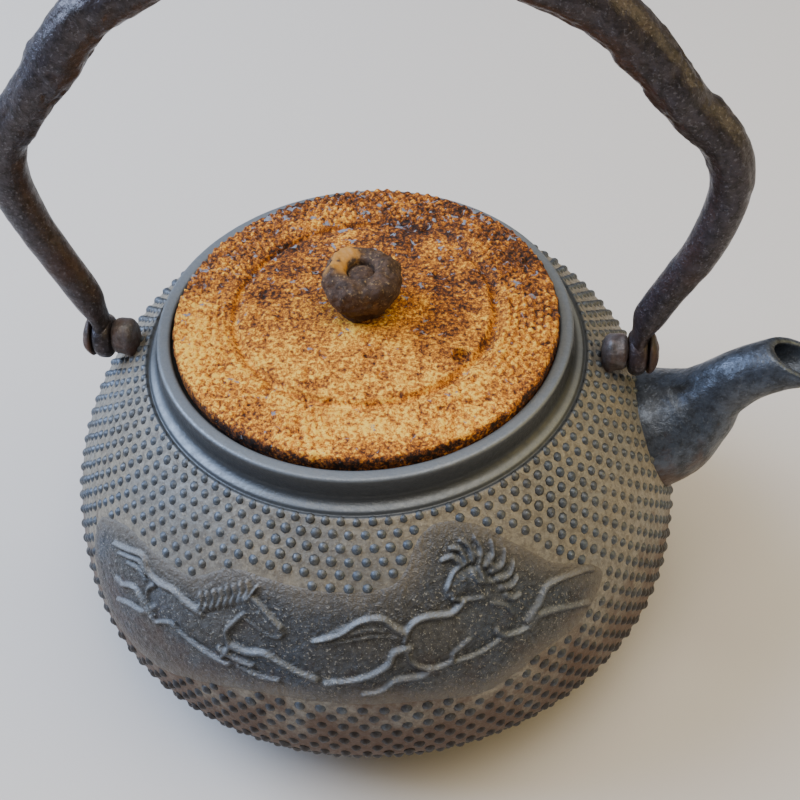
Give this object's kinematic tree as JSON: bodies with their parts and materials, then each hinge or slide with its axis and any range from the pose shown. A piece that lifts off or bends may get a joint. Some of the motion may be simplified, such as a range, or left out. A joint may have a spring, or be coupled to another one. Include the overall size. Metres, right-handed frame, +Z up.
{
  "type": "cast iron kettle",
  "caption": "Squat round cast iron kettle with raised dots, short spout, swinging branch-like bail handle and a rusted drop-in lid with a bud knob.",
  "frame": {"origin": "middle of the flat base", "axes": "+Z up through the middle of the mouth, +X towards the spout, with the handle's pivot line along X; the relief side faces -Y"},
  "size_m": [0.2183, 0.18, 0.2141],
  "materials": {
    "bowl_iron": "weathered grey-brown cast skin with raised dots",
    "spout_iron": "dark smooth cast skin with rust below",
    "handle_iron": "dark bark-textured iron",
    "pin_iron": "brown forged iron",
    "lid_rust": "heavily rusted and pitted",
    "knob_iron": "dark rusted casting"
  },
  "bodies": {
    "kettle": {"body_shell": "bowl_iron", "mouth_collar": "bowl_iron", "spout": "spout_iron", "lug_left": "spout_iron", "lug_right": "spout_iron", "handle_pin_left": "pin_iron", "handle_pin_right": "pin_iron"},
    "handle": {"handle": "handle_iron"},
    "lid": {"lid": "lid_rust", "knob_stem": "knob_iron", "clinch_washer": "knob_iron"},
    "knob": {"knob": "knob_iron"}
  },
  "joints": [
    {"name": "handle_swing", "type": "hinge", "parent": "kettle", "child": "handle", "pos_m": [0, 0, 0.093], "axis": [1, 0, 0], "range_deg": [-112, 112]},
    {"name": "lid_lift", "type": "slide", "parent": "kettle", "child": "lid", "axis": [0, 0, 1], "range_m": [0, 0.06]},
    {"name": "knob_turn", "type": "hinge", "parent": "lid", "child": "knob", "pos_m": [0, 0, 0.11], "axis": [0, 0, 1], "continuous": true}
  ]
}
